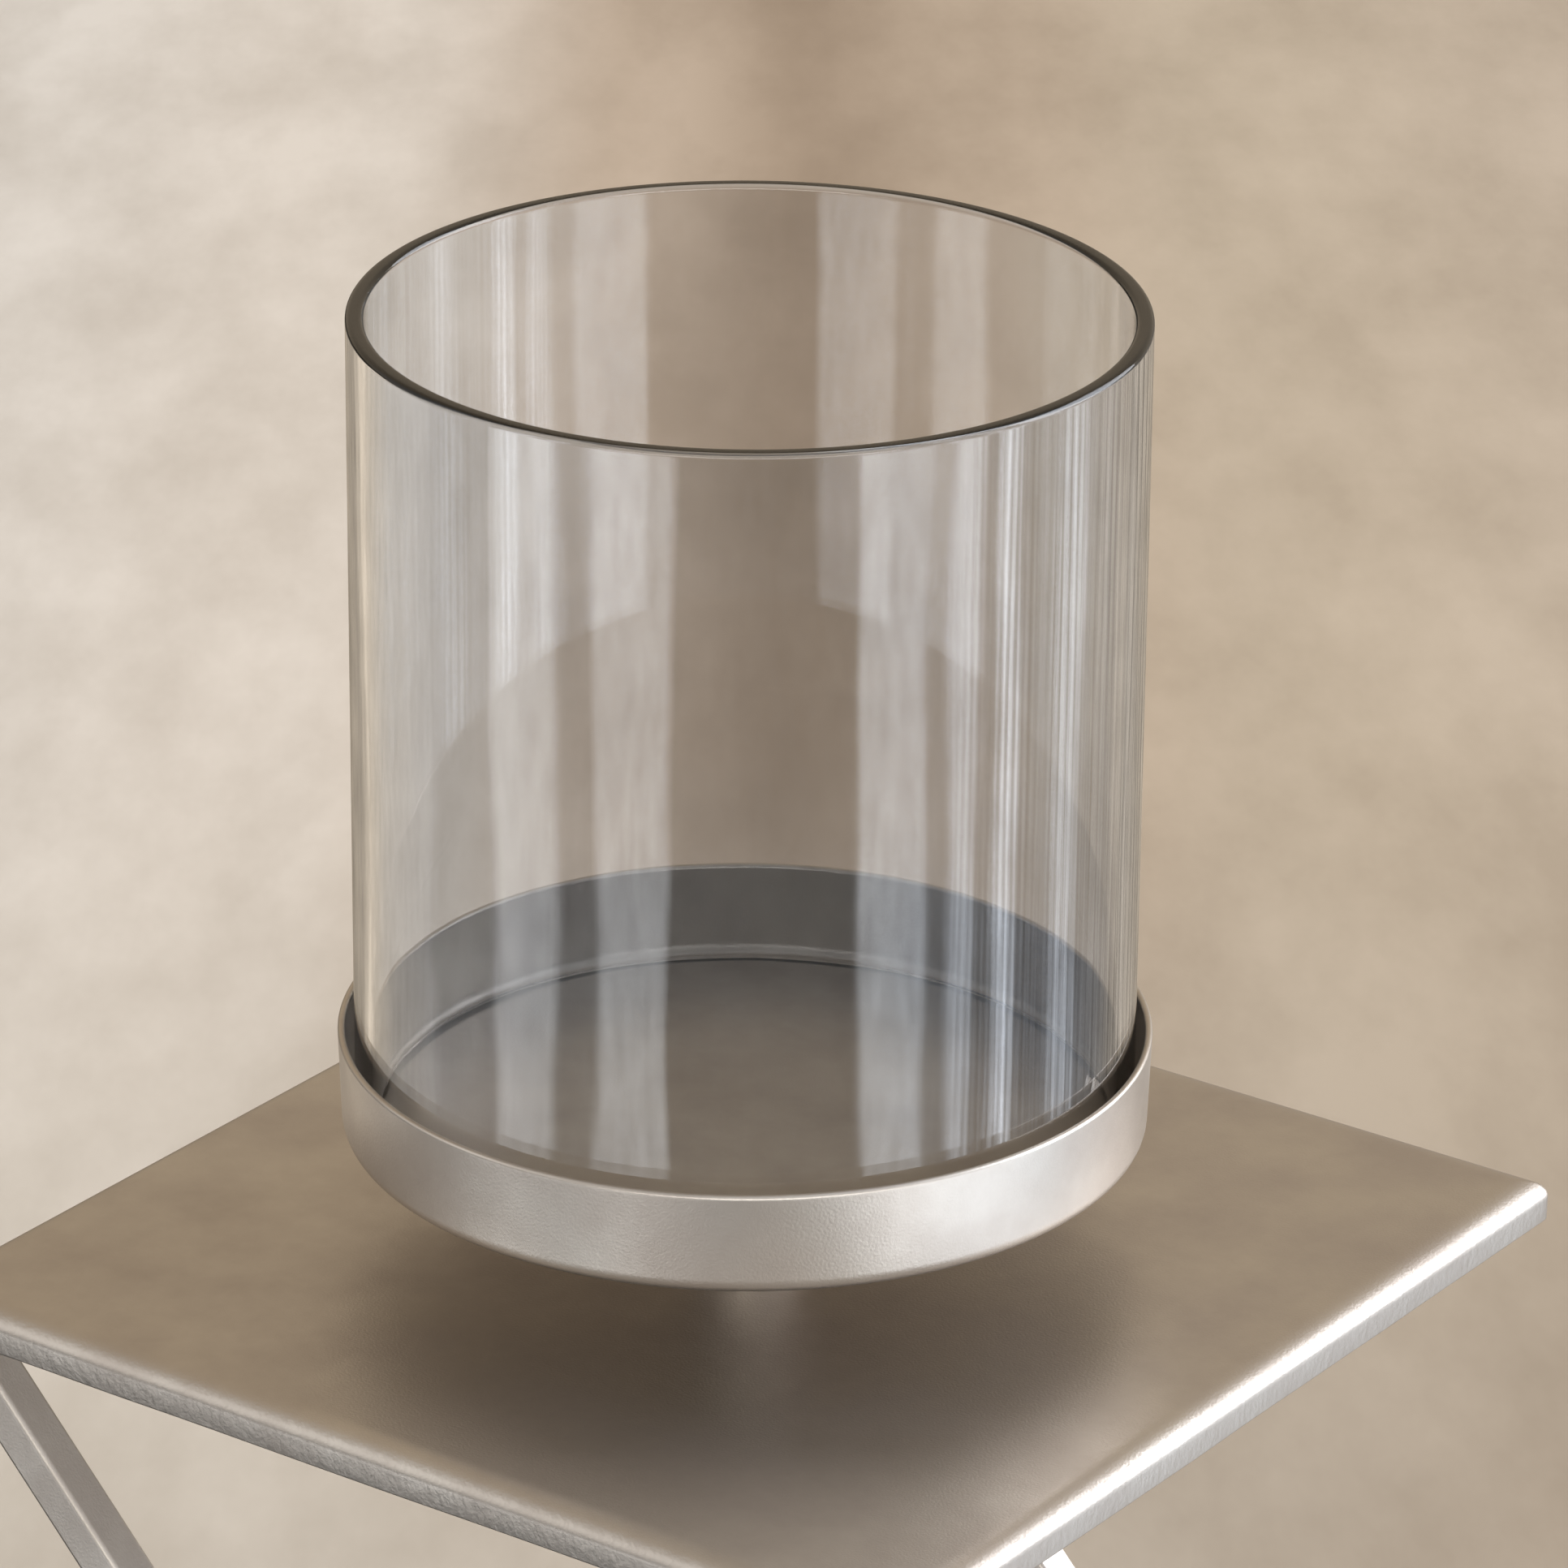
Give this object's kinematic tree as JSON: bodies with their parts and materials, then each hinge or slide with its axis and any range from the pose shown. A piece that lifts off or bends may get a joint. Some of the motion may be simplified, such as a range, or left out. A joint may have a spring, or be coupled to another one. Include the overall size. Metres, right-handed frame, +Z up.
{
  "type": "candle lantern",
  "caption": "Glass cylinder in a shallow metal dish on a short stem, above a square top carried by a square-tube frame with slanting legs.",
  "frame": {"origin": "on the floor below the middle of the top, in the plane of the foot pads' undersides", "axes": "+Z up; +X to the front, where the legs meet the floor frame; -Y the left side"},
  "size_m": [0.305, 0.305, 0.5825],
  "materials": {
    "clear_glass": "clear, very lightly grey, fire-polished edges",
    "satin_nickel": "warm satin nickel, fine blasted grain",
    "zinc_steel": "bright zinc plate",
    "black_rubber": "matt"
  },
  "bodies": {
    "stand": {"dish": "satin_nickel", "stem": "satin_nickel", "stem_screw": "zinc_steel", "lock_washer": "zinc_steel", "plain_washer": "zinc_steel", "top_plate": "satin_nickel", "top_strap": "satin_nickel", "top_rail_left": "satin_nickel", "top_rail_right": "satin_nickel", "top_rail_front": "satin_nickel", "top_rail_back": "satin_nickel", "leg_left": "satin_nickel", "leg_right": "satin_nickel", "base_rail_left": "satin_nickel", "base_rail_right": "satin_nickel", "base_rail_front": "satin_nickel", "base_rail_back": "satin_nickel", "foot_pad_front_left": "black_rubber", "foot_pad_front_right": "black_rubber", "foot_pad_back_left": "black_rubber", "foot_pad_back_right": "black_rubber"},
    "glass": {"glass_cylinder": "clear_glass"}
  },
  "joints": [
    {"name": "glass_lift", "type": "slide", "parent": "stand", "child": "glass", "axis": [0, 0, 1], "range_m": [0, 0.06]}
  ]
}
